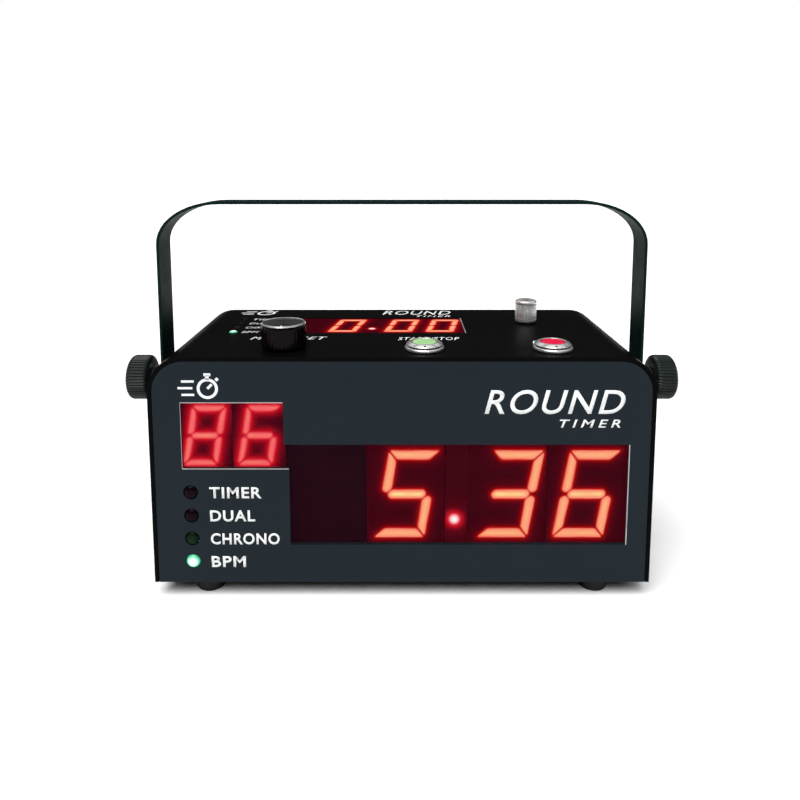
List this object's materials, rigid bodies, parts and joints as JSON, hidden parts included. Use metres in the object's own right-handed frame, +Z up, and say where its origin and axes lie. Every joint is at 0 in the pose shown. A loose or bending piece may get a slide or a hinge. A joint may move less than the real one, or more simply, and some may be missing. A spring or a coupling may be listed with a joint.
{
  "type": "gym round timer",
  "caption": "Table-top training timer with red seven-segment displays on its front and deck, deck knobs and push buttons, and a clamped swing handle that doubles as a stand.",
  "frame": {"origin": "on the floor, under the centre of the bounding box", "axes": "+X to the right as the front display is read and along the longest extent, -Y towards the reader, +Z up"},
  "size_m": [0.2946, 0.112, 0.1989],
  "materials": {
    "cover": "fine black powder coat",
    "base_tray": "fine black powder coat",
    "front_panel": "dark slate satin facia",
    "rear_panel": "black fine-textured plastic",
    "window": "smoked red acrylic",
    "foot": "moulded black rubber",
    "circuit_board": "green solder mask",
    "display_module": "dark red module face with lit segments",
    "red_lamp": "dark red lens, unlit",
    "green_lamp": "dark green lens, unlit",
    "lit_lamp": "green lens, lit",
    "loudspeaker": "black paper cone and frame",
    "black_plastic": "black moulded plastic",
    "steel": "bright zinc plated steel",
    "button_ring": "polished nickel",
    "volume_knob": "satin turned aluminium",
    "start_cap": "pale green moulded plastic",
    "reset_cap": "red moulded plastic",
    "handle": "very dark green-black satin paint",
    "clamp_knob": "dark fluted moulded plastic",
    "washer": "black fibre friction washer"
  },
  "bodies": {
    "casing": {"cover": "cover", "base_tray": "base_tray", "front_panel": "front_panel", "rear_panel": "rear_panel", "front_window": "window", "deck_window": "window", "foot_front_left": "foot", "foot_front_right": "foot", "foot_rear_left": "foot", "foot_rear_right": "foot", "front_display_board": "circuit_board", "deck_display_board": "circuit_board", "main_board": "circuit_board", "large_digit_1": "display_module", "large_digit_2": "display_module", "large_digit_3": "display_module", "large_digit_4": "display_module", "separator_lamp": "display_module", "small_digit_1": "display_module", "small_digit_2": "display_module", "deck_display": "display_module", "mode_lamp_1": "lit_lamp", "mode_lamp_2": "green_lamp", "mode_lamp_3": "red_lamp", "mode_lamp_4": "red_lamp", "deck_lamp_1": "lit_lamp", "deck_lamp_2": "green_lamp", "deck_lamp_3": "red_lamp", "deck_lamp_4": "red_lamp", "loudspeaker": "loudspeaker", "power_inlet": "black_plastic", "power_inlet_nut": "steel", "encoder_body": "black_plastic", "encoder_nut": "steel", "volume_pot": "black_plastic", "start_button_housing": "button_ring", "start_button_nut": "steel", "start_button_spring": "steel", "reset_button_housing": "button_ring", "reset_button_nut": "steel", "reset_button_spring": "steel", "pivot_insert_left": "steel", "pivot_insert_right": "steel", "friction_washer_left": "washer", "friction_washer_right": "washer"},
    "handle": {"handle_strap": "handle"},
    "left_washer": {"thrust_washer_left": "steel"},
    "left_knob": {"clamp_knob_left": "clamp_knob", "clamp_stud_left": "steel"},
    "right_washer": {"thrust_washer_right": "steel"},
    "right_knob": {"clamp_knob_right": "clamp_knob", "clamp_stud_right": "steel"},
    "menu_plunger": {"encoder_plunger": "steel"},
    "menu_knob": {"menu_knob": "black_plastic", "encoder_shaft": "steel"},
    "start_cap": {"start_button_cap": "start_cap"},
    "reset_cap": {"reset_button_cap": "reset_cap"},
    "volume_knob": {"volume_knob": "volume_knob", "volume_shaft": "steel"}
  },
  "joints": [
    {"name": "handle_swing", "type": "hinge", "parent": "casing", "child": "handle", "pos_m": [0, -0.0155, 0.1028], "axis": [1, 0, 0], "range_deg": [-108, 140]},
    {"name": "left_knob_backoff", "type": "slide", "parent": "casing", "child": "left_washer", "axis": [-1, 0, 0], "range_m": [0, 0.001]},
    {"name": "left_knob_turn", "type": "hinge", "parent": "left_washer", "child": "left_knob", "pos_m": [-0.1415, -0.0155, 0.1028], "axis": [-1, 0, 0], "range_deg": [0, 360]},
    {"name": "right_knob_backoff", "type": "slide", "parent": "casing", "child": "right_washer", "axis": [1, 0, 0], "range_m": [0, 0.001]},
    {"name": "right_knob_turn", "type": "hinge", "parent": "right_washer", "child": "right_knob", "pos_m": [0.1415, -0.0155, 0.1028], "axis": [1, 0, 0], "range_deg": [0, 360]},
    {"name": "menu_push", "type": "slide", "parent": "casing", "child": "menu_plunger", "axis": [0, 0, -1], "range_m": [0, 0.0005], "stiffness_N_per_m": 6000, "springref_m": -0.0003},
    {"name": "menu_turn", "type": "hinge", "parent": "menu_plunger", "child": "menu_knob", "pos_m": [-0.0603, -0.0371, 0.125], "axis": [0, 0, 1], "continuous": true},
    {"name": "start_press", "type": "slide", "parent": "casing", "child": "start_cap", "axis": [0, 0, -1], "range_m": [0, 0.0015], "stiffness_N_per_m": 1200, "springref_m": -0.001, "deforming": ["start_button_spring"]},
    {"name": "reset_press", "type": "slide", "parent": "casing", "child": "reset_cap", "axis": [0, 0, -1], "range_m": [0, 0.0015], "stiffness_N_per_m": 1200, "springref_m": -0.001, "deforming": ["reset_button_spring"]},
    {"name": "volume_turn", "type": "hinge", "parent": "casing", "child": "volume_knob", "pos_m": [0.0734, 0.0202, 0.125], "axis": [0, 0, 1], "range_deg": [-150, 150]}
  ],
  "couplings": [
    {"joint": "left_knob_turn", "follows": "left_knob_backoff", "rad_per_m": 6283.2},
    {"joint": "right_knob_turn", "follows": "right_knob_backoff", "rad_per_m": 6283.2}
  ]
}
